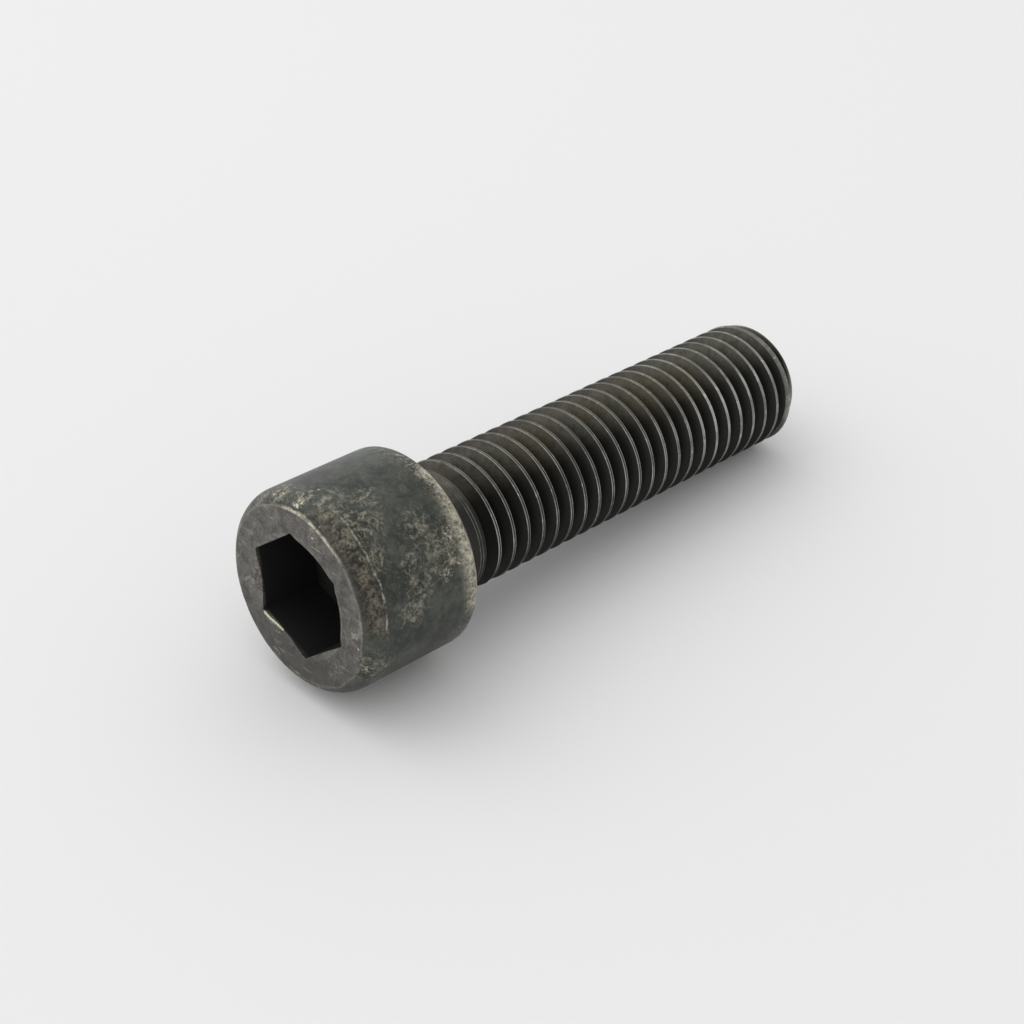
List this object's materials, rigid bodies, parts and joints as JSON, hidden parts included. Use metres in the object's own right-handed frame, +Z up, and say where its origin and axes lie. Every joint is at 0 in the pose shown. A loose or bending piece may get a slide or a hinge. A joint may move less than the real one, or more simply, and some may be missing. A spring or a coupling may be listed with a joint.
{
  "type": "socket head bolt",
  "caption": "Round-headed steel bolt with a hexagonal socket, a fully threaded shank and a chamfered tip, black finished and worn.",
  "frame": {"origin": "centre of the bearing face under the head", "axes": "+X runs along the ground from the head towards the tip, +Z is up; the bolt lies on its side, with its axis sloping down 3.9 degrees to the tip"},
  "size_m": [0.0577, 0.018, 0.0186],
  "materials": {
    "steel": "black oxide, worn bright at the edges and crests, with brown stains"
  },
  "bodies": {
    "root": {"bolt": "steel"}
  },
  "joints": []
}
